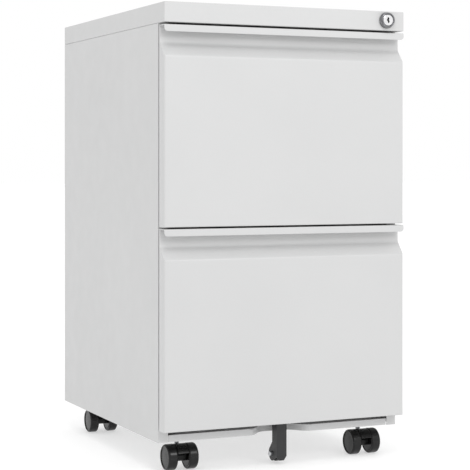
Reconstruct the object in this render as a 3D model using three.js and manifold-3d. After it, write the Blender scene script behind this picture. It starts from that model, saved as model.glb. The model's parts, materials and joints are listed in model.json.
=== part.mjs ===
// A two-drawer mobile filing pedestal in folded sheet steel, standing on four twin-wheel casters, with a
// fifth anti-tip wheel under the lower drawer. Millimetres, +X to the right, +Y to the back, +Z up.
// The origin is on the floor, under the middle of the whole cabinet.
import * as THREE from 'three';
import { mergeVertices } from 'three/addons/utils/BufferGeometryUtils.js';
import Module from 'manifold-3d';

// ---- Driving dimensions ----
const WIDTH = 380;
const HEIGHT = 658;
const BODY_DEPTH = 422.5; // front edge of the side panels to the back
const FRONT_PROUD = 24.5; // cap fascia and handle lips, in front of the side panels
const LOCK_PROUD = 7; // lock bezel, in front of the cap fascia
const FLOOR_GAP = 44.5; // floor to the lower edge of the body
const SHEET = 1;
const GAP = 0.3; // between pieces that touch

const CAP_HEIGHT = 28.5;
const CAP_SEAM = 0.7; // shadow line between the cap and the side panels
const FLANGE = 15; // return flanges of the side panels
const TOP_FLANGE_SETBACK = 8; // room for the locking bar in front of the top flanges
const BASE_HEIGHT = 9.7; // front rail, and the down-turned edges of the base pan
const RAIL_SETBACK = 0.8;
const RAIL_LIP = 8;

const RECESS_DEPTH = 24; // bend in the front rail that clears the anti-tip bracket
const RECESS_FLOOR = 32; // width of its straight bottom
const RECESS_SLOPE = 32; // width of each curved side
const RECESS_STEPS = 10;

const FRONT_HEIGHT = 281;
const FRONT_FACE = 23.5; // drawer face, in front of the side panels
const FRONT_BACK = 4.7; // back of the drawer front, in front of the side panels
const FRONT_CORNER = 3;
const LOWER_FRONT_Z = 62;
const FRONT_PITCH = 283.5;
const LIP_HEIGHT = 9.8;
const LIP_CORNER = 5;
const RECESS_WALL = 7; // back wall of the finger recess, in front of the side panels
const RECESS_WALL_END = 25; // its lower end, below the top of the front
const RECESS_END = 43; // where the slope below it meets the drawer face

const TRAY_HALF = 162;
const TRAY_HEIGHT = 225;
const TRAY_BACK = 206;
const TRAY_LIFT = 6; // tray floor above the lower edge of its front
const TRAY_FLANGE = 8;

const POST_WIDTH = 30;
const POST_SHEET = 1.2;
const FRONT_POST_Y = -186;
const REAR_POST_Y = 178;

const SLIDE_LENGTH = 400;
const SLIDE_Y = -188;
const SLIDE_LIFT = 70; // centre of the slide above the tray floor
const SLIDE_SHEET = 1.2;

const FILE_BAR_Y = 125;
const FILE_BAR_THICK = 2.5;

const CASTER_X = 147;
const CASTER_YS = { front: -157, rear: 182 };
const CASTER_TRAIL = 12; // the axle stands in front of the swivel stem
const WHEEL_R = 18.5;
const WHEEL_INNER = 9.1; // inner face of each wheel from the caster's middle
const WHEEL_OUTER = 23;
const WHEEL_DISH = 1.1; // sunk disc in the outer face
const HOOD_HALF = 8.6;
const HOOD_WEB_HALF = 4;
const HUB_R = 8.4; // the hood's core, round the axle
const AXLE_R = 2.5;
const AXLE_HALF = 17.6;
const STEM_R = 3.5;
const STEM_FOOT = 30;
const SOCKET_R = 5.2;
const SOCKET_TOP = 37.8;

const LOCK_X = 160.5;
const LOCK_Z = 644.5;
const CAM_R = 9; // cam pin from the lock's axis
const CAM_PIN_R = 2;
const CAM_ANGLE = Math.PI / 4; // the pin starts this far above the horizontal, unlocked
const LOCK_BAR_Y = -193;
const LOCK_BAR_THICK = 2;
const CATCH_Y = -189.5;
const CAM_Y = -200.5;
const LOCK_TRAVEL = 2 * CAM_R * Math.sin(CAM_ANGLE);
const CATCH_LIFT = 150; // catch above the tray floor
const CATCH_HEIGHT = 10;

const TIP_FRONT = -198;
const TIP_WHEEL_R = 11.3;
const TIP_AXLE = { y: -182, z: 14.1 };
const TIP_HALF = 8; // half the bracket's width
const TIP_SHEET = 1.5;
const TIP_FLANK = 15; // depth of its flanks above the wheel
const TIP_LOBE_R = 10.5;
const TIP_FOOT = 5.8;
const TIP_CHAMFER = { x: 4.2, z: 6.2 };

// ---- Places worked out from them ----
const halfWidth = WIDTH / 2;
const back = (BODY_DEPTH + FRONT_PROUD + LOCK_PROUD) / 2;
const bodyFront = back - BODY_DEPTH;
const capFront = bodyFront - FRONT_PROUD;
const capBottom = HEIGHT - CAP_HEIGHT;
const sideTop = capBottom - CAP_SEAM;
const baseTop = FLOOR_GAP + BASE_HEIGHT;
const railFront = bodyFront + RAIL_SETBACK;
const postFace = halfWidth - SHEET - 14;
const slideFace = postFace - GAP;

const DRAWERS = [
  { name: 'lower', frontZ: LOWER_FRONT_Z },
  { name: 'upper', frontZ: LOWER_FRONT_Z + FRONT_PITCH },
].map((drawer) => ({
  ...drawer,
  frontTop: drawer.frontZ + FRONT_HEIGHT,
  trayZ: drawer.frontZ + TRAY_LIFT,
  trayTop: drawer.frontZ + TRAY_LIFT + TRAY_HEIGHT,
  slideZ: drawer.frontZ + TRAY_LIFT + SLIDE_LIFT,
  catchZ: drawer.frontZ + TRAY_LIFT + CATCH_LIFT,
}));
const SIDES = [
  { name: 'left', sign: -1 },
  { name: 'right', sign: 1 },
];

// ---- Materials ----
const paint = new THREE.MeshStandardMaterial({ color: 0xe3e3e2, roughness: 0.45, metalness: 0 });
const zinc = new THREE.MeshStandardMaterial({ color: 0xb4b7ba, roughness: 0.35, metalness: 1 });
const chrome = new THREE.MeshStandardMaterial({ color: 0xd5d6d8, roughness: 0.12, metalness: 1 });
const blackPaint = new THREE.MeshStandardMaterial({ color: 0x2b2b2c, roughness: 0.5, metalness: 0 });
const nylon = new THREE.MeshStandardMaterial({ color: 0x18181a, roughness: 0.38, metalness: 0 });

// ---- Solids ----
const wasm = await Module();
wasm.setup();

// A closed geometry as a manifold-3d solid.
function solid(geometry) {
  const bare = geometry.index ? geometry.toNonIndexed() : geometry.clone();
  for (const name of ['normal', 'uv']) bare.deleteAttribute(name);
  const merged = mergeVertices(bare, 1e-4);
  return new wasm.Manifold(
    new wasm.Mesh({
      numProp: 3,
      vertProperties: merged.attributes.position.array,
      triVerts: new Uint32Array(merged.index.array),
    }),
  );
}

function join(...solids) {
  return solids.reduce((whole, next) => whole.add(next));
}

function cut(whole, ...tools) {
  return tools.reduce((left, tool) => left.subtract(tool), whole);
}

function box([x0, x1], [y0, y1], [z0, z1]) {
  const geometry = new THREE.BoxGeometry(x1 - x0, y1 - y0, z1 - z0);
  return solid(geometry.translate((x0 + x1) / 2, (y0 + y1) / 2, (z0 + z1) / 2));
}

// A box given for the right-hand side (sign 1), or its mirror image on the left (sign -1).
function sideBox(sign, [x0, x1], ys, zs) {
  return box(sign > 0 ? [x0, x1] : [-x1, -x0], ys, zs);
}

function outline(points) {
  return new THREE.Shape(points.map(([a, b]) => new THREE.Vector2(a, b)));
}

// A shape drawn in two axes, extruded along the third from its low end to its high end.
const AXES = {
  x: [new THREE.Vector3(0, 1, 0), new THREE.Vector3(0, 0, 1), new THREE.Vector3(1, 0, 0)],
  y: [new THREE.Vector3(1, 0, 0), new THREE.Vector3(0, 0, 1), new THREE.Vector3(0, -1, 0)],
  z: [new THREE.Vector3(1, 0, 0), new THREE.Vector3(0, 1, 0), new THREE.Vector3(0, 0, 1)],
};
function extrude(axis, shape, low, high, curveSegments = 6) {
  const geometry = new THREE.ExtrudeGeometry(shape, {
    depth: high - low,
    bevelEnabled: false,
    curveSegments,
  });
  const start = axis === 'y' ? high : low;
  const place = new THREE.Matrix4().makeBasis(...AXES[axis]);
  place.setPosition(new THREE.Vector3()[`set${axis.toUpperCase()}`](start));
  return solid(geometry.applyMatrix4(place));
}

// A profile of [radius, height] points turned about an axis through the point at.
function lathe(axis, profile, at, segments) {
  const points = profile.map(([r, h]) => new THREE.Vector2(r, h));
  const geometry = new THREE.LatheGeometry(points, segments);
  if (axis === 'x') geometry.rotateZ(-Math.PI / 2);
  if (axis === 'z') geometry.rotateX(Math.PI / 2);
  return solid(geometry.translate(...at));
}

function rod(axis, radius, [low, high], at, segments = 24) {
  return lathe(axis, [[0, low], [radius, low], [radius, high], [0, high]], at, segments);
}

const cabinet = new THREE.Group();
function part(name, whole, material) {
  const { vertProperties, triVerts } = whole.getMesh();
  const geometry = new THREE.BufferGeometry();
  geometry.setAttribute('position', new THREE.BufferAttribute(new Float32Array(vertProperties), 3));
  geometry.setIndex(new THREE.BufferAttribute(new Uint32Array(triVerts), 1));
  const mesh = new THREE.Mesh(geometry, material);
  mesh.name = name;
  cabinet.add(mesh);
}

// ---- Body: side panels, back, cap, base and posts ----
function sidePanel(sign) {
  const wall = sideBox(sign, [halfWidth - SHEET, halfWidth], [bodyFront, back], [FLOOR_GAP, sideTop]);
  const flangeX = [halfWidth - FLANGE, halfWidth];
  const frontTop = sideTop - SHEET - GAP;
  const front = sideBox(sign, flangeX, [bodyFront, bodyFront + SHEET], [FLOOR_GAP, frontTop]);
  const rear = sideBox(sign, flangeX, [back - SHEET, back], [FLOOR_GAP, sideTop]);
  const topStart = bodyFront + TOP_FLANGE_SETBACK;
  const top = sideBox(sign, flangeX, [topStart, back], [sideTop - SHEET, sideTop]);
  return join(wall, front, rear, top);
}

function backPanel() {
  const inner = halfWidth - SHEET - GAP;
  const face = back - SHEET - GAP;
  return box([-inner, inner], [face - SHEET, face], [baseTop + GAP, sideTop - SHEET - GAP]);
}

function cap() {
  const inX = halfWidth - SHEET;
  const shell = cut(
    box([-halfWidth, halfWidth], [capFront, back], [capBottom, HEIGHT]),
    box([-inX, inX], [capFront + SHEET, back - SHEET], [capBottom - 1, HEIGHT - SHEET]),
  );
  const lipZ = [capBottom, capBottom + SHEET];
  const frontLip = box([-inX, inX], [capFront, capFront + 16], lipZ);
  const backLip = box([-inX, inX], [back - 14, back], lipZ);
  const sideLips = SIDES.map(({ sign }) => sideBox(sign, [halfWidth - 14, halfWidth], [-185, back], lipZ));
  const lockHole = rod('y', 9.6, [-4, 4], [LOCK_X, capFront, LOCK_Z], 32);
  return cut(join(shell, frontLip, backLip, ...sideLips), lockHole);
}

// Plan line of the bend in the front rail, from left to right.
function bendLine(offset) {
  const points = [];
  for (const sign of [-1, 1]) {
    for (let i = 0; i <= RECESS_STEPS; i++) {
      const t = sign < 0 ? i / RECESS_STEPS : 1 - i / RECESS_STEPS;
      const ease = (1 - Math.cos(Math.PI * t)) / 2;
      const x = sign * (RECESS_FLOOR / 2 + RECESS_SLOPE * (1 - t));
      const lean = Math.sin(Math.PI * t) * 0.45 * offset * sign;
      points.push([x + lean, railFront + offset + RECESS_DEPTH * ease]);
    }
  }
  return points;
}

function strip(near, far, reach) {
  const line = (offset) => {
    const y = railFront + offset;
    return [[-reach, y], ...bendLine(offset), [reach, y]];
  };
  return outline([...line(near), ...line(far).reverse()]);
}

function frontRail() {
  const reach = halfWidth - FLANGE - 0.5;
  return join(
    extrude('z', strip(0, SHEET, reach), FLOOR_GAP, baseTop),
    extrude('z', strip(0, RAIL_LIP, reach), FLOOR_GAP, FLOOR_GAP + SHEET),
  );
}

function basePan() {
  const inX = halfWidth - SHEET - GAP;
  const inY = back - SHEET - GAP;
  const frontY = railFront + SHEET + GAP;
  const plate = box([-inX, inX], [frontY, inY], [baseTop - SHEET, baseTop]);
  const edge = bendLine(SHEET + GAP);
  const reach = edge[edge.length - 1][0];
  const bay = outline([[-reach, frontY - 5], [reach, frontY - 5], ...edge.reverse()]);
  const edgeZ = [FLOOR_GAP + GAP, baseTop];
  const sides = SIDES.map(({ sign }) =>
    sideBox(sign, [inX - SHEET, inX], [bodyFront + 10, inY], edgeZ),
  );
  const rear = box([-inX, inX], [inY - SHEET, inY], edgeZ);
  const holes = Object.values(CASTER_YS).flatMap((y) =>
    SIDES.map(({ sign }) => rod('z', STEM_R + GAP, [0, 100], [sign * CASTER_X, y, 0])),
  );
  return cut(join(plate, ...sides, rear), extrude('z', bay, 0, 100), ...holes);
}

// Upright that carries the slides: a channel that opens towards the side panel.
function post(sign, y) {
  const outerX = halfWidth - SHEET - GAP;
  const zs = [baseTop + GAP, sideTop - SHEET - GAP];
  return cut(
    sideBox(sign, [postFace, outerX], [y, y + POST_WIDTH], zs),
    sideBox(
      sign,
      [postFace + POST_SHEET, outerX + 1],
      [y + POST_SHEET, y + POST_WIDTH - POST_SHEET],
      [zs[0] - 1, zs[1] + 1],
    ),
  );
}

for (const { name, sign } of SIDES) {
  part(`side_panel_${name}`, sidePanel(sign), paint);
  part(`slide_post_front_${name}`, post(sign, FRONT_POST_Y), paint);
  part(`slide_post_rear_${name}`, post(sign, REAR_POST_Y), paint);
}
part('back_panel', backPanel(), paint);
part('top_cap', cap(), paint);
part('base_front_rail', frontRail(), paint);
part('base_pan', basePan(), paint);

// ---- Three-part ball-bearing slides ----
// One channel of a slide. Its web stands between two distances from the post's face, and its two flanges
// run from the web to flangeEnd, at half its height above and below the slide's centre.
function slideMember(sign, z, web, flangeEnd, half) {
  const toX = (distances) => {
    const [a, b] = distances.map((d) => slideFace - d);
    return [Math.min(a, b), Math.max(a, b)];
  };
  const ys = [SLIDE_Y, SLIDE_Y + SLIDE_LENGTH];
  const flangeX = toX([web[0] < flangeEnd ? web[0] : web[1], flangeEnd]);
  return join(
    sideBox(sign, toX(web), ys, [z - half, z + half]),
    sideBox(sign, flangeX, ys, [z + half - SLIDE_SHEET, z + half]),
    sideBox(sign, flangeX, ys, [z - half, z - half + SLIDE_SHEET]),
  );
}

for (const drawer of DRAWERS) {
  for (const { name, sign } of SIDES) {
    const members = {
      outer: slideMember(sign, drawer.slideZ, [0, SLIDE_SHEET], 9, 22.5),
      middle: slideMember(sign, drawer.slideZ, [2.4, 2.4 + SLIDE_SHEET], 10.2, 17.7),
      inner: slideMember(sign, drawer.slideZ, [11.2, 12.4], 4.8, 12.7),
    };
    for (const [member, shape] of Object.entries(members)) {
      part(`${drawer.name}_slide_${member}_${name}`, shape, zinc);
    }
  }
}

// ---- Drawers ----
// Side view of a drawer front behind its face, drawn inset from the outside by the sheet's thickness.
function frontProfile(drawer, inset, backPlane) {
  const slope = (RECESS_END - RECESS_WALL_END) / (FRONT_FACE - RECESS_WALL);
  const drop = inset * Math.hypot(1, slope);
  const slopeZ = (u) => drawer.frontTop - RECESS_WALL_END - drop - slope * (u - RECESS_WALL);
  const wall = RECESS_WALL - inset;
  const face = FRONT_FACE - inset;
  const corners = [
    [backPlane, drawer.frontZ + inset],
    [backPlane, drawer.frontTop - inset],
    [wall, drawer.frontTop - inset],
    [wall, slopeZ(wall)],
    [face, slopeZ(face)],
    [face, drawer.frontZ + inset],
  ];
  return outline(corners.map(([u, z]) => [bodyFront - u, z]).reverse());
}

// Plan view of a drawer front, with its two front corners rounded.
function frontPlan(inset, backPlane) {
  const x = halfWidth - inset;
  const r = FRONT_CORNER - inset;
  const y = bodyFront - FRONT_FACE + inset;
  const shape = new THREE.Shape();
  shape.moveTo(-x, bodyFront - backPlane);
  shape.lineTo(-x, y + r);
  shape.absarc(-x + r, y + r, r, Math.PI, 1.5 * Math.PI);
  shape.lineTo(x - r, y);
  shape.absarc(x - r, y + r, r, 1.5 * Math.PI, 2 * Math.PI);
  shape.lineTo(x, bodyFront - backPlane);
  return shape;
}

function frontSkin(drawer) {
  const body = (inset, backPlane) => {
    const x = halfWidth - inset;
    return extrude('x', frontProfile(drawer, inset, backPlane), -x, x).intersect(
      extrude('z', frontPlan(inset, backPlane), drawer.frontZ - 1, drawer.frontTop + 1, 4),
    );
  };
  const top = drawer.frontTop;
  const shelf = box(
    [-halfWidth, halfWidth],
    [bodyFront - FRONT_PROUD, bodyFront - FRONT_BACK],
    [top - SHEET, top],
  );
  const lipShape = new THREE.Shape();
  lipShape.moveTo(-halfWidth, top);
  lipShape.lineTo(-halfWidth, top - LIP_HEIGHT + LIP_CORNER);
  lipShape.absarc(
    -halfWidth + LIP_CORNER,
    top - LIP_HEIGHT + LIP_CORNER,
    LIP_CORNER,
    Math.PI,
    1.5 * Math.PI,
  );
  lipShape.lineTo(halfWidth - LIP_CORNER, top - LIP_HEIGHT);
  lipShape.absarc(
    halfWidth - LIP_CORNER,
    top - LIP_HEIGHT + LIP_CORNER,
    LIP_CORNER,
    1.5 * Math.PI,
    2 * Math.PI,
  );
  lipShape.lineTo(halfWidth, top);
  const lip = extrude('y', lipShape, capFront, capFront + SHEET);
  return join(cut(body(0, FRONT_BACK), body(SHEET, FRONT_BACK - 5)), shelf, lip);
}

// Inner panel that closes the back of the front. Its lip at the tray's height carries file hooks.
function frontLiner(drawer) {
  const inner = halfWidth - SHEET - GAP;
  const y = bodyFront - FRONT_BACK;
  const bottom = drawer.frontZ + SHEET + GAP;
  const foldTop = drawer.frontTop - RECESS_END - 6;
  const foldY = [y - 12, y];
  const lipEnd = y + 9;
  const lipHalf = TRAY_HALF - 4;
  return join(
    box([-inner, inner], [y - SHEET, y], [bottom, drawer.frontTop - SHEET - GAP]),
    box([-inner, inner], foldY, [bottom, bottom + SHEET]),
    box([-inner, -inner + SHEET], foldY, [bottom, foldTop]),
    box([inner - SHEET, inner], foldY, [bottom, foldTop]),
    box([-lipHalf, lipHalf], [y, lipEnd], [drawer.trayTop, drawer.trayTop + SHEET]),
    box([-lipHalf, lipHalf], [lipEnd - SHEET, lipEnd], [drawer.trayTop, drawer.trayTop + 5]),
  );
}

function tray(drawer) {
  const frontY = bodyFront - FRONT_BACK + GAP;
  const ys = [frontY, TRAY_BACK];
  const zs = [drawer.trayZ, drawer.trayTop];
  const walls = SIDES.flatMap(({ sign }) => [
    sideBox(sign, [TRAY_HALF - SHEET, TRAY_HALF], ys, zs),
    sideBox(sign, [TRAY_HALF - SHEET, TRAY_HALF + TRAY_FLANGE], ys, [zs[1] - SHEET, zs[1]]),
    sideBox(sign, [TRAY_HALF - 12, TRAY_HALF], [frontY, frontY + SHEET], [zs[0], zs[1] - 10]),
  ]);
  return join(
    box([-TRAY_HALF, TRAY_HALF], ys, [zs[0], zs[0] + SHEET]),
    box([-TRAY_HALF, TRAY_HALF], [TRAY_BACK - SHEET, TRAY_BACK], zs),
    ...walls,
  );
}

// Bar across the tray for the rear hooks of the files. Its ears rest on the tray's side flanges.
function fileBar(drawer) {
  const inner = TRAY_HALF - SHEET - 0.5;
  const ear = TRAY_HALF + TRAY_FLANGE - 2;
  const rest = drawer.trayTop + GAP;
  const shape = outline([
    [-inner, rest - 10],
    [inner, rest - 10],
    [inner, rest],
    [ear, rest],
    [ear, rest + 4],
    [-ear, rest + 4],
    [-ear, rest],
    [-inner, rest],
  ]);
  return extrude('y', shape, FILE_BAR_Y, FILE_BAR_Y + FILE_BAR_THICK);
}

// Angle on the tray's right side, behind which the locking bar's hook drops.
function lockCatch(drawer) {
  const zs = [drawer.catchZ, drawer.catchZ + CATCH_HEIGHT];
  const x = TRAY_HALF + GAP;
  return join(
    box([x, x + 1.5], [CATCH_Y, CATCH_Y + 16], zs),
    box([x, 173], [CATCH_Y, CATCH_Y + 2], zs),
  );
}

for (const drawer of DRAWERS) {
  part(`${drawer.name}_drawer_front`, frontSkin(drawer), paint);
  part(`${drawer.name}_drawer_liner`, frontLiner(drawer), paint);
  part(`${drawer.name}_drawer_tray`, tray(drawer), paint);
  part(`${drawer.name}_file_bar`, fileBar(drawer), zinc);
  part(`${drawer.name}_lock_catch`, lockCatch(drawer), zinc);
}

// ---- Lock: housing, key plug, cam and locking bar ----
const KEYWAY = [
  [-0.9, -4.2],
  [0.9, -4.2],
  [1.5, -1.6],
  [0.3, -0.2],
  [2.1, 1.8],
  [0.9, 4.2],
  [-0.9, 4.2],
  [-1.5, 1.4],
  [-0.3, 0.2],
  [-2.1, -1.8],
];

function lockHousing() {
  const face = capFront - LOCK_PROUD;
  const profile = [
    [8.5, face],
    [10.4, face],
    [11.6, face + 1.6],
    [11.8, capFront - GAP],
    [9.3, capFront - GAP],
    [9.3, -204],
    [8.5, -204],
    [8.5, face],
  ];
  return lathe('y', profile, [LOCK_X, 0, LOCK_Z], 32);
}

function lockPlug() {
  const face = capFront - LOCK_PROUD + 0.8;
  const profile = [
    [0, face],
    [7.8, face],
    [8.4, face + 0.6],
    [8.4, -204],
    [4, -204],
    [4, CAM_Y + 4],
    [0, CAM_Y + 4],
  ];
  const key = outline(KEYWAY.map(([x, z]) => [LOCK_X + x, LOCK_Z + z]));
  return cut(lathe('y', profile, [LOCK_X, 0, LOCK_Z], 32), extrude('y', key, face - 1, face + 9));
}

function lockCam() {
  const pinX = LOCK_X + CAM_R * Math.cos(CAM_ANGLE);
  const pinZ = LOCK_Z + CAM_R * Math.sin(CAM_ANGLE);
  const ys = [CAM_Y, CAM_Y + 2];
  const side = 4;
  const nx = -Math.sin(CAM_ANGLE) * side;
  const nz = Math.cos(CAM_ANGLE) * side;
  const arm = outline([
    [LOCK_X - nx, LOCK_Z - nz],
    [pinX - nx, pinZ - nz],
    [pinX + nx, pinZ + nz],
    [LOCK_X + nx, LOCK_Z + nz],
  ]);
  return cut(
    join(
      rod('y', 7, ys, [LOCK_X, 0, LOCK_Z]),
      rod('y', side, ys, [pinX, 0, pinZ]),
      extrude('y', arm, ...ys),
      rod('y', CAM_PIN_R, [ys[1] - 1, LOCK_BAR_Y + LOCK_BAR_THICK + 1.5], [pinX, 0, pinZ], 16),
    ),
    rod('y', 4 + GAP, [-210, -190], [LOCK_X, 0, LOCK_Z]),
  );
}

function lockBar() {
  const ys = [LOCK_BAR_Y, LOCK_BAR_Y + LOCK_BAR_THICK];
  const slotZ = LOCK_Z + CAM_R * Math.sin(CAM_ANGLE);
  const slotLow = LOCK_X + CAM_R * Math.cos(CAM_ANGLE) - CAM_PIN_R - 0.6;
  const slotHigh = LOCK_X + CAM_R + CAM_PIN_R + 0.6;
  const slotHalf = CAM_PIN_R + 0.6;
  const stripX = [176.5, 188];
  const hooks = DRAWERS.map(({ catchZ }) => {
    const low = catchZ + CATCH_HEIGHT + 1.5;
    return box([164, stripX[1]], ys, [low, low + 10]);
  });
  const foot = DRAWERS[0].catchZ + 4;
  return cut(
    join(
      box(stripX, ys, [foot, slotZ + 5]),
      box([slotLow - 2.6, stripX[1]], ys, [slotZ - 5, slotZ + 5]),
      ...hooks,
    ),
    box([slotLow, slotHigh], [ys[0] - 1, ys[1] + 1], [slotZ - slotHalf, slotZ + slotHalf]),
  );
}

part('lock_housing', lockHousing(), chrome);
part('lock_plug', lockPlug(), chrome);
part('lock_cam', lockCam(), zinc);
part('lock_bar', lockBar(), zinc);

// ---- Casters ----
function casterStem(at) {
  const profile = [
    [0, STEM_FOOT],
    [STEM_R, STEM_FOOT],
    [STEM_R, 44],
    [6.5, 44],
    [6.5, baseTop - SHEET - GAP],
    [STEM_R, baseTop - SHEET - GAP],
    [STEM_R, baseTop + GAP],
    [6, baseTop + GAP],
    [6, baseTop + 5],
    [0, baseTop + 5],
  ];
  return lathe('z', profile, [at.x, at.y, 0], 16);
}

function casterHood(at) {
  const axleY = at.y - CASTER_TRAIL;
  const inner = WHEEL_R - 2.3;
  const outer = WHEEL_R - 0.3;
  const from = -0.1;
  const to = 2.75;
  const band = new THREE.Shape();
  band.absarc(axleY, WHEEL_R, outer, from, to);
  band.absarc(axleY, WHEEL_R, inner, to, from, true);
  const web = new THREE.Shape();
  web.absarc(axleY, WHEEL_R, inner + 0.6, 0, 2.2);
  web.lineTo(axleY - 4, WHEEL_R);
  web.lineTo(axleY, WHEEL_R - 4);
  return cut(
    join(
      extrude('x', band, at.x - HOOD_HALF, at.x + HOOD_HALF, 12),
      extrude('x', web, at.x - HOOD_WEB_HALF, at.x + HOOD_WEB_HALF, 8),
      rod('x', HUB_R, [-HOOD_HALF, HOOD_HALF], [at.x, axleY, WHEEL_R]),
      rod('z', SOCKET_R, [STEM_FOOT, SOCKET_TOP], [at.x, at.y, 0]),
    ),
    rod('z', STEM_R + 0.1, [STEM_FOOT - 2, SOCKET_TOP + 1], [at.x, at.y, 0], 16),
    rod('x', AXLE_R + GAP, [-HOOD_HALF - 1, HOOD_HALF + 1], [at.x, axleY, WHEEL_R], 16),
  );
}

function casterWheel(at, sign) {
  const profile = [
    [0, AXLE_HALF + 0.4],
    [AXLE_R + 0.1, AXLE_HALF + 0.4],
    [AXLE_R + 0.1, WHEEL_INNER],
    [WHEEL_R - 1.2, WHEEL_INNER],
    [WHEEL_R, WHEEL_INNER + 1.2],
    [WHEEL_R, WHEEL_OUTER - 2.6],
    [WHEEL_R - 0.8, WHEEL_OUTER - 0.9],
    [WHEEL_R - 2.3, WHEEL_OUTER],
    [WHEEL_R - 3.1, WHEEL_OUTER],
    [WHEEL_R - 3.5, WHEEL_OUTER - 0.7],
    [0, WHEEL_OUTER - WHEEL_DISH],
  ];
  const points = profile.map(([r, h]) => [r, sign * h]);
  const axle = [at.x, at.y - CASTER_TRAIL, WHEEL_R];
  return lathe('x', sign > 0 ? points : points.reverse(), axle, 24);
}

for (const [end, y] of Object.entries(CASTER_YS)) {
  for (const { name, sign } of SIDES) {
    const at = { x: sign * CASTER_X, y };
    const caster = `caster_${end}_${name}`;
    part(`${caster}_stem`, casterStem(at), zinc);
    part(`${caster}_hood`, casterHood(at), nylon);
    const axle = rod('x', AXLE_R, [-AXLE_HALF, AXLE_HALF], [at.x, y - CASTER_TRAIL, WHEEL_R], 16);
    part(`${caster}_axle`, axle, zinc);
    for (const wheel of SIDES) {
      part(`${caster}_wheel_${wheel.name}`, casterWheel(at, wheel.sign), nylon);
    }
  }
}

// ---- Anti-tip wheel under the lower drawer ----
function tipBracket() {
  const top = DRAWERS[0].trayZ - GAP;
  const plateZ = [top - 1.7, top];
  const flankFoot = TIP_FOOT + TIP_CHAMFER.z;
  const flankBack = TIP_FRONT + TIP_FLANK;
  const flank = new THREE.Shape();
  flank.moveTo(TIP_FRONT, top - 1);
  flank.lineTo(TIP_FRONT, flankFoot);
  flank.absarc(TIP_AXLE.y, TIP_AXLE.z, TIP_LOBE_R, 1.45 * Math.PI, 2.25 * Math.PI);
  flank.lineTo(flankBack, TIP_AXLE.z + 17);
  flank.lineTo(flankBack, top - 1);
  const flanks = [-TIP_HALF, TIP_HALF - TIP_SHEET].map((x) => extrude('x', flank, x, x + TIP_SHEET));
  const web = outline([
    [-TIP_HALF, flankFoot],
    [-TIP_HALF + TIP_CHAMFER.x, TIP_FOOT],
    [TIP_HALF - TIP_CHAMFER.x, TIP_FOOT],
    [TIP_HALF, flankFoot],
    [TIP_HALF, top - 1],
    [-TIP_HALF, top - 1],
  ]);
  return cut(
    join(
      ...flanks,
      extrude('y', web, TIP_FRONT, TIP_FRONT + TIP_SHEET),
      box([-20, 20], [TIP_FRONT, TIP_FRONT + 38], plateZ),
    ),
    rod('x', 2.3, [-20, 20], [0, TIP_AXLE.y, TIP_AXLE.z], 16),
  );
}

function tipAxle() {
  const end = TIP_HALF + GAP;
  const profile = [
    [0, -end - 4.4],
    [3.6, -end - 4.4],
    [3.6, -end],
    [2, -end],
    [2, end],
    [3.6, end],
    [3.6, end + 4.4],
    [0, end + 4.4],
  ];
  return lathe('x', profile, [0, TIP_AXLE.y, TIP_AXLE.z], 12);
}

function tipWheel() {
  const half = TIP_HALF - TIP_SHEET - 0.6;
  const profile = [
    [2.1, -half],
    [6, -half],
    [7, -half + 0.8],
    [TIP_WHEEL_R - 1.5, -half + 0.8],
    [TIP_WHEEL_R, -half + 2.2],
    [TIP_WHEEL_R, half - 2.2],
    [TIP_WHEEL_R - 1.5, half - 0.8],
    [7, half - 0.8],
    [6, half],
    [2.1, half],
    [2.1, -half],
  ];
  return lathe('x', profile, [0, TIP_AXLE.y, TIP_AXLE.z], 24);
}

part('anti_tip_bracket', tipBracket(), blackPaint);
part('anti_tip_axle', tipAxle(), zinc);
part('anti_tip_wheel', tipWheel(), nylon);

export default cabinet;
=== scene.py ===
"""Looks of the two-drawer filing pedestal: sheet metal, casters, lock and finishes over the CAD frame."""

import json
import math

import bmesh
import bpy
from mathutils import Matrix, Vector


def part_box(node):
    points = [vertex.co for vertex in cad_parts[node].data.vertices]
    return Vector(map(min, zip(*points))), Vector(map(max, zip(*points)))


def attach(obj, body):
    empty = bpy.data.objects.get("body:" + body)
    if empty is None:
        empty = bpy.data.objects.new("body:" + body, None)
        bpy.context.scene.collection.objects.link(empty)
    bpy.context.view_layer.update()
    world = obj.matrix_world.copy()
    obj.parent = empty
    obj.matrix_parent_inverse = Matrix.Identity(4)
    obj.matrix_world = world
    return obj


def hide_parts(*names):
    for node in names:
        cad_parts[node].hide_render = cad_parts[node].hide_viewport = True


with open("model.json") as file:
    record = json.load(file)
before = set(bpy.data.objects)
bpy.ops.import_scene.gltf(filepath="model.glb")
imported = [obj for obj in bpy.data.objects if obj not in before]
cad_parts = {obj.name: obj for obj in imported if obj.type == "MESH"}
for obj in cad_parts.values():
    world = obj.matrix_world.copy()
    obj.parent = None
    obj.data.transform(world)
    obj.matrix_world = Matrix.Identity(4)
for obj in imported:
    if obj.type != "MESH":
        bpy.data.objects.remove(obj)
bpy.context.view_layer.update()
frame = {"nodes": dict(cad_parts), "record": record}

MM = 0.001
SHEET = 1.0 * MM
MERGE = 0.01 * MM  # points of a folded sheet that are closer than this become one
TURNED_MERGE = 0.004 * MM  # the same for turned pieces
BEVEL_SEGMENTS = 2
NORMAL_WEIGHT = 80
SIDES = {"left": -1, "right": 1}
DRAWERS = ("lower", "upper")


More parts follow.
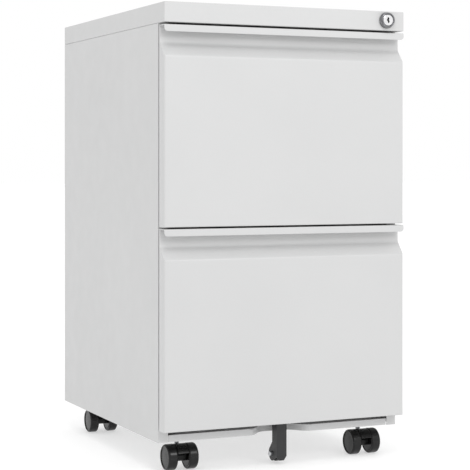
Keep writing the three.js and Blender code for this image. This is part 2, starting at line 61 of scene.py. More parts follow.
# ---- Materials ----
class Nodes:
    """Short calls for building one material's node tree."""

    def __init__(self, name):
        self.material = bpy.data.materials.new(name)
        self.material.use_nodes = True
        self.tree = self.material.node_tree
        self.shader = self.tree.nodes["Principled BSDF"]
        self.coords = self.add("ShaderNodeTexCoord").outputs["Object"]

    def add(self, kind, **settings):
        node = self.tree.nodes.new(kind)
        for key, value in settings.items():
            setattr(node, key, value)
        return node

    def link(self, output, socket):
        self.tree.links.new(output, socket)

    def fixed(self, **values):
        for key, value in values.items():
            self.shader.inputs[key.replace("_", " ")].default_value = value

    def stretched(self, scale):
        mapping = self.add("ShaderNodeMapping")
        mapping.inputs["Scale"].default_value = scale
        self.link(self.coords, mapping.inputs["Vector"])
        return mapping.outputs["Vector"]

    def noise(self, scale, detail=3.0, roughness=0.55, vector=None):
        node = self.add("ShaderNodeTexNoise")
        node.inputs["Scale"].default_value = scale
        node.inputs["Detail"].default_value = detail
        node.inputs["Roughness"].default_value = roughness
        self.link(vector or self.coords, node.inputs["Vector"])
        return node.outputs["Fac"]

    def cells(self, scale, output="Distance"):
        node = self.add("ShaderNodeTexVoronoi")
        node.inputs["Scale"].default_value = scale
        self.link(self.coords, node.inputs["Vector"])
        return node.outputs[output]

    def remap(self, value, low, high, to_low, to_high):
        node = self.add("ShaderNodeMapRange")
        self.link(value, node.inputs["Value"])
        for key, number in zip(("From Min", "From Max", "To Min", "To Max"), (low, high, to_low, to_high)):
            node.inputs[key].default_value = number
        return node.outputs["Result"]

    def math(self, operation, a, b):
        node = self.add("ShaderNodeMath", operation=operation)
        for socket, value in zip(node.inputs, (a, b)):
            if isinstance(value, float):
                socket.default_value = value
            else:
                self.link(value, socket)
        return node.outputs["Value"]

    def blend(self, factor, first, second):
        node = self.add("ShaderNodeMix", data_type="RGBA")
        self.link(factor, node.inputs["Factor"])
        for key, colour in (("A", first), ("B", second)):
            socket = [s for s in node.inputs if s.name == key and s.type == "RGBA"][0]
            socket.default_value = (*colour, 1.0)
        return [s for s in node.outputs if s.type == "RGBA"][0]

    def bump(self, height, distance, strength=1.0, normal=None):
        node = self.add("ShaderNodeBump")
        node.inputs["Distance"].default_value = distance
        node.inputs["Strength"].default_value = strength
        self.link(height, node.inputs["Height"])
        if normal is not None:
            self.link(normal, node.inputs["Normal"])
        return node.outputs["Normal"]

    def wire(self, colour, roughness, normal):
        self.link(colour, self.shader.inputs["Base Color"])
        self.link(roughness, self.shader.inputs["Roughness"])
        self.link(normal, self.shader.inputs["Normal"])
        return self.material


def powder_coat(name, dark, light, rough_low, rough_high, peel):
    """Baked powder: a fine orange peel over slow waves, with slight changes of tone and gloss."""
    cloud_scale, grain_scale, gloss_scale, wave_scale, peel_scale = 5.0, 420.0, 38.0, 160.0, 620.0
    n = Nodes(name)
    tone = n.remap(n.noise(cloud_scale, 4.0), 0.3, 0.7, 0.0, 1.0)
    grain = n.remap(n.noise(grain_scale, 2.0), 0.35, 0.65, 0.0, 1.0)
    mixed = n.math("ADD", n.math("MULTIPLY", tone, 0.7), n.math("MULTIPLY", grain, 0.3))
    colour = n.blend(mixed, dark, light)
    roughness = n.remap(n.noise(gloss_scale, 4.0), 0.3, 0.7, rough_low, rough_high)
    waves = n.bump(n.noise(wave_scale, 2.0), peel * 2.2, 0.5)
    normal = n.bump(n.cells(peel_scale), peel, 0.6, waves)
    n.fixed(IOR=1.5)
    return n.wire(colour, roughness, normal)


def zinc_plate(name, dark, light):
    """Bright zinc plate, with drawing marks along the length and a faint mottle."""
    streak_scale, mottle_scale, mark_depth = 260.0, 90.0, 0.02 * MM
    n = Nodes(name)
    streaks = n.noise(streak_scale, 3.0, 0.6, n.stretched((1.0, 0.03, 1.0)))
    mottle = n.remap(n.cells(mottle_scale, "Color"), 0.0, 1.0, 0.0, 1.0)
    factor = n.math("ADD", n.math("MULTIPLY", streaks, 0.7), n.math("MULTIPLY", mottle, 0.3))
    colour = n.blend(factor, dark, light)
    roughness = n.remap(factor, 0.3, 0.75, 0.26, 0.44)
    n.fixed(Metallic=1.0)
    return n.wire(colour, roughness, n.bump(streaks, mark_depth, 0.4))


def chrome_plate(name, dark, light):
    """Bright plating with a haze of handling marks and fine hairlines."""
    haze_scale, hair_scale, hair_depth = 180.0, 900.0, 0.008 * MM
    n = Nodes(name)
    haze = n.remap(n.noise(haze_scale, 5.0), 0.35, 0.7, 0.0, 1.0)
    hair = n.noise(hair_scale, 2.0, 0.7, n.stretched((0.08, 1.0, 1.0)))
    colour = n.blend(haze, light, dark)
    wear = n.math("ADD", n.math("MULTIPLY", haze, 0.6), n.math("MULTIPLY", hair, 0.4))
    roughness = n.remap(wear, 0.2, 0.8, 0.07, 0.22)
    n.fixed(Metallic=1.0)
    return n.wire(colour, roughness, n.bump(hair, hair_depth, 0.3))


def moulded_nylon(name, dark, light, rough_low, rough_high, gloss):
    """Moulded black nylon: a fine spark-eroded texture, flow marks and a little dust."""
    flow_scale, pore_scale, dust_scale, pore_depth = 70.0, 1500.0, 420.0, 0.02 * MM
    n = Nodes(name)
    flow = n.remap(n.noise(flow_scale, 4.0), 0.35, 0.7, 0.0, 1.0)
    dust = n.remap(n.noise(dust_scale, 5.0, 0.7), 0.52, 0.75, 0.0, 1.0)
    mixed = n.math("ADD", n.math("MULTIPLY", flow, 0.6), n.math("MULTIPLY", dust, 0.4))
    colour = n.blend(mixed, dark, light)
    roughness = n.remap(mixed, 0.0, 1.0, rough_low, rough_high)
    n.fixed(IOR=1.38, Specular_IOR_Level=gloss)
    return n.wire(colour, roughness, n.bump(n.cells(pore_scale), pore_depth, 0.5))


def floor_finish(name, dark, light, glow):
    """Pale studio table that glows a little, so that shadows stay light."""
    cloud_scale, gloss_scale, grit_scale, grit_depth = 1.2, 14.0, 260.0, 0.05 * MM
    n = Nodes(name)
    colour = n.blend(n.remap(n.noise(cloud_scale, 3.0), 0.3, 0.7, 0.0, 1.0), dark, light)
    roughness = n.remap(n.noise(gloss_scale, 3.0), 0.3, 0.7, 0.75, 0.85)
    n.fixed(Emission_Color=(1, 1, 1, 1), Emission_Strength=glow)
    return n.wire(colour, roughness, n.bump(n.noise(grit_scale), grit_depth, 0.2))


def grey(value, blue=0.0):
    """A neutral colour, with a little more blue where it is asked for."""
    return (value, value, value + blue)


WHITE = powder_coat("white_powder_coat", (0.538, 0.540, 0.541), (0.562, 0.563, 0.563), 0.36, 0.48, 0.018 * MM)
BLACK_PAINT = powder_coat("black_paint", grey(0.012, 0.001), grey(0.020, 0.001), 0.38, 0.5, 0.02 * MM)
ZINC = zinc_plate("zinc_plate", (0.44, 0.45, 0.47), (0.70, 0.71, 0.72))
# Chrome whose colour is darkened to paint in a dark reflection; its haze and hairlines are real handling
# wear.
CHROME_WITH_PAINTED_REFLECTION = chrome_plate("chrome_plate", grey(0.13, 0.01), grey(0.30, 0.01))
PLUG_FACE = chrome_plate("plug_face", grey(0.76, 0.01), grey(0.90, 0.01))
# Painted shade: a near-black coat for the inside of the key's slot, where there is only shade.
KEYWAY_PAINTED_SHADE = powder_coat("keyway_shadow", grey(0.004), grey(0.008), 0.6, 0.8, 0.01 * MM)
NYLON = moulded_nylon("black_nylon", grey(0.003), grey(0.009), 0.26, 0.38, 0.38)
TREAD = moulded_nylon("tread_nylon", grey(0.003), grey(0.008), 0.20, 0.32, 0.55)


# ---- Mesh helpers ----
def rounded(corners, radii, steps=6):
    """An open line in two axes through the corners, with each inner corner rounded to its radius."""
    line = [Vector(corners[0])]
    for before, at, after, radius in zip(corners, corners[1:], corners[2:], radii):
        corner = Vector(at)
        into = (Vector(before) - corner).normalized()
        out = (Vector(after) - corner).normalized()
        half = into.angle(out) / 2
        if radius <= 0 or half > math.radians(89.5):
            line.append(corner)
            continue
        start = corner + into * (radius / math.tan(half))
        centre = corner + (into + out).normalized() * (radius / math.sin(half))
        arm = start - centre
        turn = math.pi - 2 * half
        if into.x * out.y - into.y * out.x > 0:
            turn = -turn
        for i in range(steps + 1):
            a = turn * i / steps
            line.append(centre + Vector((arm.x * math.cos(a) - arm.y * math.sin(a),
                                         arm.x * math.sin(a) + arm.y * math.cos(a))))
    line.append(Vector(corners[-1]))
    return line


def left_normals(line):
    """Unit normals to the left of an open line's direction."""
    normals = []
    for i in range(len(line)):
        ahead = line[min(i + 1, len(line) - 1)] - line[max(i - 1, 0)]
        normals.append(Vector((-ahead.y, ahead.x)).normalized())
    return normals


def grid(rows, wrap=False, caps=False, into=None):
    """Faces between rows of points. wrap joins each row's ends; caps closes the first and last rows."""
    bm = into or bmesh.new()
    verts = [[bm.verts.new(p) for p in row] for row in rows]
    width = len(rows[0])
    for low, high in zip(verts, verts[1:]):
        for i in range(width if wrap else width - 1):
            j = (i + 1) % width
            bm.faces.new((low[i], low[j], high[j], high[i]))
    if caps:
        bm.faces.new(list(reversed(verts[0])))
        bm.faces.new(verts[-1])
    return bm


def lathe(profile, axis, centre, segments=64, into=None):
    """A closed solid of (radius, height) points turned about an axis through centre."""
    rows = []
    for radius, height in profile:
        ring = []
        for i in range(segments):
            a = 2 * math.pi * i / segments
            across, along = radius * math.cos(a), radius * math.sin(a)
            place = {"x": (height, across, along), "y": (along, height, across), "z": (across, along, height)}
            ring.append(Vector(place[axis]) + Vector(centre))
        rows.append(ring)
    bm = grid(rows, wrap=True, into=into)
    bmesh.ops.remove_doubles(bm, verts=bm.verts, dist=TURNED_MERGE)
    bmesh.ops.dissolve_degenerate(bm, edges=bm.edges, dist=TURNED_MERGE / 2)
    return bm


def block(low, high, into=None):
    """A box between two opposite corners."""
    bm = into or bmesh.new()
    size = [b - a for a, b in zip(low, high)]
    middle = [(a + b) / 2 for a, b in zip(low, high)]
    bmesh.ops.create_cube(bm, size=1.0, matrix=Matrix.Translation(middle) @ Matrix.Diagonal((*size, 1.0)))
    return bm


def add_modifier(obj, kind, **settings):
    modifier = obj.modifiers.new(kind.lower(), kind)
    for key, value in settings.items():
        setattr(modifier, key, value)
    return modifier


def bake_modifiers(obj):
    """Replaces an object's mesh by the one that its modifiers make."""
    bpy.context.view_layer.update()
    baked = bpy.data.meshes.new_from_object(obj.evaluated_get(bpy.context.evaluated_depsgraph_get()))
    old, obj.data = obj.data, baked
    obj.modifiers.clear()
    bpy.data.meshes.remove(old)


def piece(name, bm, body, nodes, material, thick=0.0, bevel=0.0, flip=None, cutter=None, sharp=35):
    """Makes a mesh object of bm that rides on a body and stands for its CAD nodes.

    thick gives an open sheet its thickness, inwards. flip is (axis, sign): the way that the face furthest
    along that axis must look. cutter is a closed bmesh that is cut away."""
    bmesh.ops.recalc_face_normals(bm, faces=bm.faces)
    if flip:
        axis, sign = flip
        outermost = max(bm.faces, key=lambda f: (sign * f.calc_center_median()[axis], abs(f.normal[axis])))
        if outermost.normal[axis] * sign < 0:
            bmesh.ops.reverse_faces(bm, faces=bm.faces)
    obj = bpy.data.objects.new(name, bpy.data.meshes.new(name))
    bm.to_mesh(obj.data)
    bm.free()
    bpy.context.scene.collection.objects.link(obj)
    if thick:
        add_modifier(obj, "SOLIDIFY", thickness=thick, offset=-1.0, use_even_offset=True)
    tool = None
    if cutter:
        bmesh.ops.recalc_face_normals(cutter, faces=cutter.faces)
        tool = bpy.data.objects.new(name + "_tool", bpy.data.meshes.new(name + "_tool"))
        cutter.to_mesh(tool.data)
        cutter.free()
        bpy.context.scene.collection.objects.link(tool)
        add_modifier(obj, "BOOLEAN", operation="DIFFERENCE", object=tool, solver="EXACT")
    if bevel:
        add_modifier(obj, "BEVEL", width=bevel, segments=BEVEL_SEGMENTS, limit_method="ANGLE",
                     angle_limit=math.radians(50), use_clamp_overlap=True)
    if obj.modifiers:
        bake_modifiers(obj)
    if tool:
        bpy.data.objects.remove(tool)
    obj.data.name = name
    obj.data.polygons.foreach_set("use_smooth", [True] * len(obj.data.polygons))
    obj.data.set_sharp_from_angle(angle=math.radians(sharp))
    add_modifier(obj, "WEIGHTED_NORMAL", weight=NORMAL_WEIGHT, keep_sharp=True)
    obj.data.materials.clear()
    obj.data.materials.append(material)
    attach(obj, body)
    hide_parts(*nodes)
    return obj


# ---- Places, read from the CAD frame ----
cap_low, cap_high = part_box("top_cap")
side_low, side_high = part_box("side_panel_right")
HALF = cap_high.x
BACK = side_high.y
BODY_FRONT = side_low.y
SIDE_BOTTOM, SIDE_TOP = side_low.z, side_high.z
SEAM_FILL = 0.45 * MM  # the panels rise this far into the cap's seam


# ---- Drawer fronts ----
FACE_BACK = 1.0 * MM  # drawer face behind the lip's front
FACE_FOOT_BEND = 1.4 * MM
SIDE_RADIUS = 3.0 * MM
SIDE_STEPS = 8
SLOPE_END = 43.0 * MM  # below the top, where the slope of the finger recess meets the face
SLOPE_BEND = 5.0 * MM
WALL_END = 25.0 * MM  # below the top, where the slope meets the recess wall
WALL_BEND = 9.0 * MM
WALL_Y = BODY_FRONT - 7.0 * MM
LIP_DROP = 9.8 * MM
LIP_BEND = 1.8 * MM
LIP_STRAIGHT = 0.4 * MM
LIP_CORNER = 5.0 * MM
LIP_STEPS = 8
FRONT_EASING = 0.25 * MM
LIP_EASING = 0.3 * MM


def front_shell(drawer):
    """Face, slope and recess wall folded from one sheet, with rounded upright edges and closed ends."""
    low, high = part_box(f"{drawer}_drawer_front")
    face_y = low.y + FACE_BACK
    back_y = high.y
    top = high.z - SHEET
    corners = [
        (back_y, low.z), (face_y, low.z), (face_y, high.z - SLOPE_END),
        (WALL_Y, high.z - WALL_END), (WALL_Y, top),
    ]
    line = rounded(corners, [FACE_FOOT_BEND, SLOPE_BEND, WALL_BEND], steps=10)
    angles = [math.pi / 2 * k / SIDE_STEPS for k in range(SIDE_STEPS + 1)]
    rows = []
    for point in line:
        row = []
        for sign in (-1, 1):
            for a in reversed(angles) if sign < 0 else angles:
                x = sign * (HALF - SIDE_RADIUS * (1 - math.sin(a)))
                y = max(point.x, face_y + SIDE_RADIUS * (1 - math.cos(a)))
                row.append(Vector((x, y, point.y)))
        rows.append(row)
    bm = grid(rows)
    for column in (0, -1):
        edge = [bm.verts.new(row[column]) for row in rows]
        corner = bm.verts.new((rows[0][column].x, back_y, top))
        bm.faces.new(edge + [corner])
    bmesh.ops.remove_doubles(bm, verts=bm.verts, dist=MERGE)
    piece(f"{drawer}_front_shell", bm, f"{drawer}_drawer", [f"{drawer}_drawer_front"],
          WHITE, thick=SHEET, bevel=FRONT_EASING, flip=(1, -1))


def pull_lip(drawer):
    """Flat finger pull that bends down at its front, where its lower corners are rounded."""
    low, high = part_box(f"{drawer}_drawer_front")
    straight_end = high.z - LIP_BEND - LIP_STRAIGHT
    line = rounded([(high.y, high.z), (low.y, high.z), (low.y, straight_end)], [LIP_BEND])
    ends = [LIP_CORNER * (1 - math.cos(math.pi / 2 * k / LIP_STEPS)) for k in range(LIP_STEPS + 1)]
    xs = [-HALF + e for e in ends] + [HALF - e for e in reversed(ends)]
    rows = [[Vector((x, p.x, p.y)) for x in xs] for p in line]
    foot = []
    for x in xs:
        inset = max(0.0, LIP_CORNER - (HALF - abs(x)))
        rise = LIP_CORNER - math.sqrt(LIP_CORNER**2 - inset**2)
        foot.append(Vector((x, low.y, high.z - LIP_DROP + rise)))
    rows.append(foot)
    piece(f"{drawer}_pull_lip", grid(rows), f"{drawer}_drawer", [f"{drawer}_drawer_front"],
          WHITE, thick=SHEET, bevel=LIP_EASING, flip=(1, -1))


for drawer in DRAWERS:
    front_shell(drawer)
    pull_lip(drawer)


# ---- Cabinet shell ----
def plan_outline(low, high, radius, inset, steps=6):
    """Rounded rectangle in plan, moved inwards by inset."""
    points = []
    r = max(radius - inset, 0.0)
    for sx, sy, start in ((1, 1, 0), (-1, 1, 90), (-1, -1, 180), (1, -1, 270)):
        cx = high.x if sx > 0 else low.x
        cy = high.y if sy > 0 else low.y
        ox, oy = cx - sx * (inset + r), cy - sy * (inset + r)
        for k in range(steps + 1):
            a = math.radians(start + 90 * k / steps)
            points.append((ox + r * math.cos(a), oy + r * math.sin(a)))
    return points


def top_cap():
    """Folded lid with a turned-in lip all round and a round hole for the lock."""
    corner, edge, foot_bend, lip = 0.7 * MM, 1.3 * MM, 1.2 * MM, 14.0 * MM
    hole_radius, hole_reach = 9.6 * MM, 5 * MM
    profile = rounded([(lip, cap_low.z), (0, cap_low.z), (0, cap_high.z), (4 * edge, cap_high.z)],
                      [foot_bend, edge])
    rows = []
    for inset, z in profile:
        rows.append([Vector((x, y, z)) for x, y in plan_outline(cap_low, cap_high, corner, inset)])
    bm = grid(rows, wrap=True)
    bm.verts.ensure_lookup_table()
    bm.faces.new([bm.verts[-len(rows[0]) + i] for i in range(len(rows[0]))])
    bmesh.ops.remove_doubles(bm, verts=bm.verts, dist=MERGE)
    bmesh.ops.dissolve_degenerate(bm, edges=bm.edges, dist=MERGE / 2)
    lock_low, lock_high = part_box("lock_housing")
    middle = (lock_low + lock_high) / 2
    hole_profile = [(0, -hole_reach), (hole_radius, -hole_reach), (hole_radius, hole_reach), (0, hole_reach)]
    hole = lathe(hole_profile, "y", (middle.x, cap_low.y, middle.z))
    piece("cap_shell", bm, "cabinet", ["top_cap"], WHITE, thick=SHEET, flip=(2, 1),
          cutter=hole)


def side_shell(side):
    """Side panel with its front and back flanges, and the flange under the cap."""
    sign = SIDES[side]
    bend, shell_easing = 0.6 * MM, 0.25 * MM
    flange_start, flange_easing = 8 * MM, 0.2 * MM
    panel_low, panel_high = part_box(f"side_panel_{side}")
    x_out = sign * HALF
    x_in = sign * (HALF - (panel_high.x - panel_low.x))
    line = rounded([(x_in, BACK), (x_out, BACK), (x_out, BODY_FRONT), (x_in, BODY_FRONT)], [bend, bend])
    rows = [[Vector((p.x, p.y, z)) for p in line] for z in (SIDE_BOTTOM, SIDE_TOP + SEAM_FILL)]
    piece(f"side_shell_{side}", grid(rows), "cabinet", [f"side_panel_{side}"], WHITE,
          thick=SHEET, bevel=shell_easing, flip=(0, sign))
    x_inner, x_outer = sorted((x_in, x_out - sign * SHEET))
    flange = block((x_inner, BODY_FRONT + flange_start, SIDE_TOP - SHEET), (x_outer, BACK - SHEET, SIDE_TOP))
    piece(f"side_top_flange_{side}", flange, "cabinet", [f"side_panel_{side}"], WHITE,
          bevel=flange_easing)


def front_rail():
    """Low rail whose middle sweeps back around the anti-tip wheel, with a notch beside each sweep."""
    low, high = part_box("base_front_rail")
    floor_half, sweep, depth, steps = 16 * MM, 32 * MM, 24 * MM, 28
    end_gap, foot_bend, foot_lip, easing = 0.5 * MM, 1.2 * MM, 7 * MM, 0.2 * MM
    notch_start, notch_end, notch_depth = 44 * MM, 49 * MM, 1.1 * MM
    notch_y, notch_top = (low.y - 2 * MM, low.y + 6 * MM), high.z + MM  # well past the sheet on each side
    plan = [Vector((low.x + end_gap, low.y))]
    for sign in (-1, 1):
        for i in range(steps + 1):
            t = i / steps if sign < 0 else 1 - i / steps
            ease = (1 - math.cos(math.pi * t)) / 2
            plan.append(Vector((sign * (floor_half + sweep * (1 - t)), low.y + depth * ease)))
    plan.append(Vector((high.x - end_gap, low.y)))
    normals = left_normals(plan)
    profile = rounded([(0, high.z), (0, low.z), (foot_lip, low.z)], [foot_bend], 5)
    rows = [[Vector((*(p + n * inset), z)) for p, n in zip(plan, normals)] for inset, z in profile]
    notches = bmesh.new()
    for sign in (-1, 1):
        x_low, x_high = sorted((sign * notch_start, sign * notch_end))
        block((x_low, notch_y[0], high.z - notch_depth), (x_high, notch_y[1], notch_top), into=notches)
    piece("rail_shell", grid(rows), "cabinet", ["base_front_rail"], WHITE, thick=SHEET,
          bevel=easing, flip=(1, -1), cutter=notches)


top_cap()
for side in SIDES:
    side_shell(side)
front_rail()


# ---- Casters ----
# Sizes in millimetres. A wheel's outline is (radius, distance from the caster's middle), from its bore.
WHEEL_PROFILE = [
    (2.6, 18), (2.6, 9.1), (14.2, 9.1), (14.8, 9.9), (16.2, 9.9), (16.8, 9.1), (17.4, 9.1), (18.5, 10.3),
    (18.5, 20.2), (17.9, 22), (16.4, 23), (15.7, 23), (15.3, 22.1), (14.7, 21.8),
]
WHEEL_BENDS = [0.3, 0.3, 0.3, 0.3, 0.3, 0.3, 0.9, 2.2, 1.6, 0.3, 0.3, 0.3]
WHEEL_DISC = [(10, 22.05), (5, 22.2), (0, 22.25)]  # slightly domed outer disc

BAND_OUTER, BAND_INNER = 18.2, 16.2  # radii of the band over the wheels
BAND_HALF = 8.6
BAND_SEAM = 0.1  # gap in the section where its outline starts and ends
BAND_START, BAND_SWEEP, BAND_STEPS = -0.1, 2.85, 48  # angles in radians, from the front upwards
WEB_HALF, WEB_RADIUS, WEB_SWEEP, WEB_STEPS = 4, 16.6, 2.2, 16
CORE_BORE, CORE_RADIUS, CORE_BEND = 2.8, 6.6, 0.7
SOCKET_BORE, SOCKET_RADIUS = 3.6, 5.2
SOCKET_FOOT, SOCKET_TOP = 11.5, 15.7  # above the axle

PIN_RADIUS, COLLAR_RADIUS, HEAD_RADIUS = 3.5, 6.5, 6
COLLAR_DROP = 0.5  # collar's foot below the cabinet
GROOVE_FOOT, GROOVE_TOP = 6.3, 4.7  # groove for the base pan, below the stem's top


def caster_wheels(name, axle):
    """Two wheels, each with a flat grooved inner face, a rounded tread and an inset outer disc."""
    line = [(p.x, p.y) for p in rounded(WHEEL_PROFILE, WHEEL_BENDS, 4)]
    bore_end = (0, WHEEL_PROFILE[0][1])
    for wheel, sign in SIDES.items():
        profile = [(r * MM, sign * (h * MM)) for r, h in [bore_end, *line, *WHEEL_DISC]]
        piece(f"{name}_tread_{wheel}", lathe(profile, "x", axle, 72), f"{name}_wheel_{wheel}",
              [f"{name}_wheel_{wheel}"], TREAD, sharp=38)


def caster_cover(name, axle, stem):
    """Curved band between the wheels, a web under it, a hub around the axle and a socket for the stem."""
    section = rounded(
        [(0, BAND_OUTER), (BAND_HALF, BAND_OUTER), (BAND_HALF, BAND_INNER), (-BAND_HALF, BAND_INNER),
         (-BAND_HALF, BAND_OUTER), (-BAND_SEAM, BAND_OUTER)],
        [0.6, 0.5, 0.5, 0.6], 3)
    rows = []
    for k in range(BAND_STEPS + 1):
        a = BAND_START + BAND_SWEEP * k / BAND_STEPS
        rows.append([axle + Vector((p.x, p.y * math.cos(a), p.y * math.sin(a))) * MM for p in section])
    bm = grid(rows, wrap=True, caps=True)
    web = [(0, -WEB_HALF)]
    for k in range(WEB_STEPS + 1):
        a = WEB_SWEEP * k / WEB_STEPS
        web.append((WEB_RADIUS * math.cos(a), WEB_RADIUS * math.sin(a)))
    web.append((-WEB_HALF, 0))
    sides = [[axle + Vector((x, y, z)) * MM for y, z in web] for x in (-WEB_HALF, WEB_HALF)]
    grid(sides, wrap=True, caps=True, into=bm)
    core_corners = [(r, x * BAND_HALF) for r, x in
                    ((CORE_BORE, -1), (CORE_RADIUS, -1), (CORE_RADIUS, 1), (CORE_BORE, 1))]
    core = rounded(core_corners, [CORE_BEND, CORE_BEND], 4)
    lathe([(p.x * MM, p.y * MM) for p in core + core[:1]], "x", axle, 48, into=bm)
    bore, radius = SOCKET_BORE * MM, SOCKET_RADIUS * MM
    foot, top = axle.z + SOCKET_FOOT * MM, axle.z + SOCKET_TOP * MM
    socket = rounded([(bore, foot), (radius, foot), (radius, top), (bore, top)], [0.3 * MM, 0.8 * MM], 4)
    lathe(socket + socket[:1], "z", (stem.x, stem.y, 0), 40, into=bm)
    piece(f"{name}_cover", bm, name, [f"{name}_hood"], NYLON, sharp=38)


def caster_pin(name, low, high):
    """Swivel stem with a collar under the base pan and a head above it."""
    top = high.z
    pin, collar, head = PIN_RADIUS * MM, COLLAR_RADIUS * MM, HEAD_RADIUS * MM
    collar_foot = SIDE_BOTTOM - COLLAR_DROP * MM
    groove_foot, groove_top = top - GROOVE_FOOT * MM, top - GROOVE_TOP * MM
    profile = rounded(
        [(0, low.z), (pin, low.z), (pin, collar_foot), (collar, collar_foot), (collar, groove_foot),
         (pin, groove_foot), (pin, groove_top), (head, groove_top), (head, top), (0, top)],
        [0.5 * MM, 0, 0.5 * MM, 0.4 * MM, 0, 0, 0.4 * MM, 0.8 * MM], 4)
    middle = (low + high) / 2
    piece(f"{name}_pin", lathe(profile, "z", (middle.x, middle.y, 0), 40), "cabinet", [f"{name}_stem"],
          ZINC)


for end in ("front", "rear"):
    for side in SIDES:
        caster = f"caster_{end}_{side}"
        axle_low, axle_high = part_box(f"{caster}_axle")
        stem_low, stem_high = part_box(f"{caster}_stem")
        axle = (axle_low + axle_high) / 2
        caster_wheels(caster, axle)
        caster_cover(caster, axle, (stem_low + stem_high) / 2)
        caster_pin(caster, stem_low, stem_high)


# ---- Lock ----
# Outlines in millimetres: (radius, distance behind the foremost point).
BEZEL_PROFILE = [
    (8.5, 1.1), (8.8, 0.5), (9.3, 0.1), (10.2, 0.0), (10.7, 0.35), (11.0, 1.1), (11.1, 2.0), (10.9, 2.4),
    (10.9, 2.8), (11.4, 3.2), (11.8, 4.2), (11.8, 6.6),
]
BEZEL_SEAT_RADIUS, BARREL_RADIUS, BARREL_BORE = 11.5, 9.3, 8.5
BEZEL_GAP = 0.15  # between the bezel and the cap
PLUG_PROFILE = [(0, 0.35), (5.2, 0.3), (7.2, 0.0), (7.9, 0.15), (8.35, 0.9)]
PLUG_TAIL_RADIUS = 4
# Outline of the key's slot, (across, up) from the plug's middle.
KEYWAY = [
    (-0.6, 4.2), (0.9, 4.2), (2.0, 1.9), (0.9, 0.3), (2.4, -1.6), (1.3, -4.2), (-0.2, -4.2), (-0.7, -1.9),
    (-2.3, 0.1), (-1.3, 2.0),
]
KEYWAY_DEPTH = 9
KEYWAY_REACH = 5  # the slot lies within this radius


def lock_bezel(low, high, x, z):
    """Stepped ring in front of the cap, with a barrel through it."""
    seat = cap_low.y - BEZEL_GAP * MM
    barrel, bore = BARREL_RADIUS * MM, BARREL_BORE * MM
    ring = [(r * MM, low.y + h * MM) for r, h in BEZEL_PROFILE]
    ring += [(BEZEL_SEAT_RADIUS * MM, seat), (barrel, seat), (barrel, high.y), (bore, high.y)]
    piece("lock_bezel", lathe(ring + ring[:1], "y", (x, 0, z), 72), "cabinet", ["lock_housing"],
          CHROME_WITH_PAINTED_REFLECTION, sharp=30)


def key_plug(inner, x, z):
    """Plug with the key's slot cut into its face, with painted shade inside the slot."""
    low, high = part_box("lock_plug")
    tail = PLUG_TAIL_RADIUS * MM
    profile = [(r * MM, low.y + h * MM) for r, h in PLUG_PROFILE]
    profile += [(PLUG_PROFILE[-1][0] * MM, inner), (tail, inner), (tail, high.y), (0, high.y)]
    slot = [[Vector((x + a * MM, y, z + b * MM)) for a, b in KEYWAY]
            for y in (low.y - MM, low.y + KEYWAY_DEPTH * MM)]
    plug = piece("key_plug", lathe(profile, "y", (x, 0, z), 64), "lock_plug", ["lock_plug"],
                 PLUG_FACE, cutter=grid(slot, wrap=True, caps=True), sharp=30)
    # The slot's inner faces get the painted shade.
    plug.data.materials.append(KEYWAY_PAINTED_SHADE)
    for polygon in plug.data.polygons:
        middle = polygon.center
        depth = middle.y - low.y
        in_slot = math.hypot(middle.x - x, middle.z - z) < KEYWAY_REACH * MM
        if in_slot and 0.8 * MM < depth < (KEYWAY_DEPTH + 0.5) * MM:
            polygon.material_index = 1


def lock():
    low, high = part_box("lock_housing")
    x, z = (low.x + high.x) / 2, (low.z + high.z) / 2
    lock_bezel(low, high, x, z)
    key_plug(high.y, x, z)


lock()


# ---- Anti-tip wheel ----
def anti_tip_roller():
    """Wheel with a raised hub, a thinner web and a rounded tread. It is the same on both sides."""
    low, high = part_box("anti_tip_wheel")
    half = (high.x - low.x) / 2
    tread = (high.z - low.z) / 2
    side = [(2.1 * MM, 0), (6 * MM, 0), (7 * MM, 0.9 * MM), (tread - 1.2 * MM, 0.8 * MM), (tread, 2.4 * MM)]
    bends = [0.3 * MM, 0.4 * MM, 0.5 * MM, 1.5 * MM]
    outline = [(r, -half + inset) for r, inset in side] + [(r, half - inset) for r, inset in reversed(side)]
    profile = rounded(outline, bends + bends[::-1], 4)
    piece("anti_tip_roller", lathe(profile + profile[:1], "x", (low + high) / 2, 64), "anti_tip_wheel",
          ["anti_tip_wheel"], TREAD)


def anti_tip_pin():
    """Axle with a round head outside each cheek of the bracket."""
    low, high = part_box("anti_tip_axle")
    end = (high.x - low.x) / 2
    head_radius, neck_radius = 3.6 * MM, 2 * MM
    neck = end - 4.4 * MM
    half = [(0, end), (head_radius, end), (head_radius, neck), (neck_radius, neck)]
    bends = [1.2 * MM, 0.3 * MM, 0]
    outline = [(r, -x) for r, x in half] + half[::-1]
    profile = rounded(outline, bends + bends[::-1], 5)
    piece("anti_tip_pin", lathe(profile, "x", (low + high) / 2, 40), "lower_drawer", ["anti_tip_axle"],
          ZINC)


anti_tip_roller()
anti_tip_pin()


# ---- CAD pieces that keep their shape: eased edges and a finish ----
CAD_EASING = 0.22 * MM
BRACKET_EASING = 0.5 * MM
FINISHES = {
    "white_powder_coat": WHITE, "zinc_plate": ZINC, "chrome": CHROME_WITH_PAINTED_REFLECTION, "black_paint": BLACK_PAINT,
    "black_nylon": NYLON,
}
slots = {s["node"]: s["material_slot"] for s in frame["record"]["subparts"]}
for node, obj in frame["nodes"].items():
    obj.data.materials.clear()
    obj.data.materials.append(FINISHES[slots[node]])
    if obj.hide_render:
        continue
    easing = BRACKET_EASING if node == "anti_tip_bracket" else CAD_EASING
    add_modifier(obj, "WELD", merge_threshold=MERGE / 2)
    add_modifier(obj, "BEVEL", width=easing, segments=BEVEL_SEGMENTS, limit_method="ANGLE",
                 angle_limit=math.radians(40), use_clamp_overlap=True)
    add_modifier(obj, "WEIGHTED_NORMAL", weight=NORMAL_WEIGHT, keep_sharp=False)


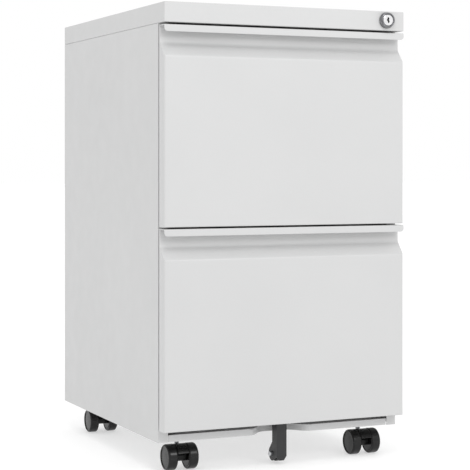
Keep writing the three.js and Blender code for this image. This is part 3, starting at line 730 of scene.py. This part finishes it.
# ---- Stage, light and camera ----
FLOOR_SIZE = 30.0
LIGHT_TARGET = (0, -0.2, 0.35)
CAMERA_PLACE = (-0.9576, -2.1663, 0.4326)
CAMERA_HEADING = -24.185  # degrees from the cabinet's axis
CAMERA_LENS, CAMERA_SENSOR = 116.25, 36.0
CAMERA_SHIFT = -0.1501
VIEW_DEPTH = 200


def stage():
    """Floor that is wide enough to reach past the picture's edges."""
    bm = bmesh.new()
    bmesh.ops.create_grid(bm, x_segments=1, y_segments=1, size=FLOOR_SIZE)
    floor = bpy.data.objects.new("floor", bpy.data.meshes.new("floor"))
    bm.to_mesh(floor.data)
    bm.free()
    bpy.context.scene.collection.objects.link(floor)
    floor.data.materials.append(floor_finish("pale_floor", grey(0.52), grey(0.54), 0.5))


def studio_walls():
    """Even white light from all around."""
    world = bpy.data.worlds.new("studio")
    world.use_nodes = True
    background = world.node_tree.nodes["Background"]
    background.inputs["Color"].default_value = (1, 1, 1, 1)
    background.inputs["Strength"].default_value = 1.0
    bpy.context.scene.world = world


def soft_light(name, power, size, place):
    """Square lamp, with its power in watts, that looks at the cabinet's front."""
    data = bpy.data.lights.new(name, "AREA")
    data.energy = power
    data.size = size
    lamp = bpy.data.objects.new(name, data)
    lamp.location = place
    lamp.rotation_euler = (Vector(LIGHT_TARGET) - Vector(place)).to_track_quat("-Z", "Y").to_euler()
    bpy.context.scene.collection.objects.link(lamp)


def camera():
    """Level camera to the left of the front, with the lens shifted down so that uprights stay upright."""
    data = bpy.data.cameras.new("camera")
    data.sensor_width = CAMERA_SENSOR
    data.lens = CAMERA_LENS
    data.shift_y = CAMERA_SHIFT
    data.clip_end = VIEW_DEPTH
    view = bpy.data.objects.new("camera", data)
    view.location = CAMERA_PLACE
    view.rotation_euler = (math.radians(90), 0, math.radians(CAMERA_HEADING))
    bpy.context.scene.collection.objects.link(view)
    bpy.context.scene.camera = view


bpy.context.scene.view_settings.view_transform = "Standard"
stage()
studio_walls()
soft_light("front_box", power=9, size=0.5, place=(0.6, -2.2, 1.4))
soft_light("high_box", power=13, size=0.9, place=(-0.75, -1.5, 2.6))
camera()
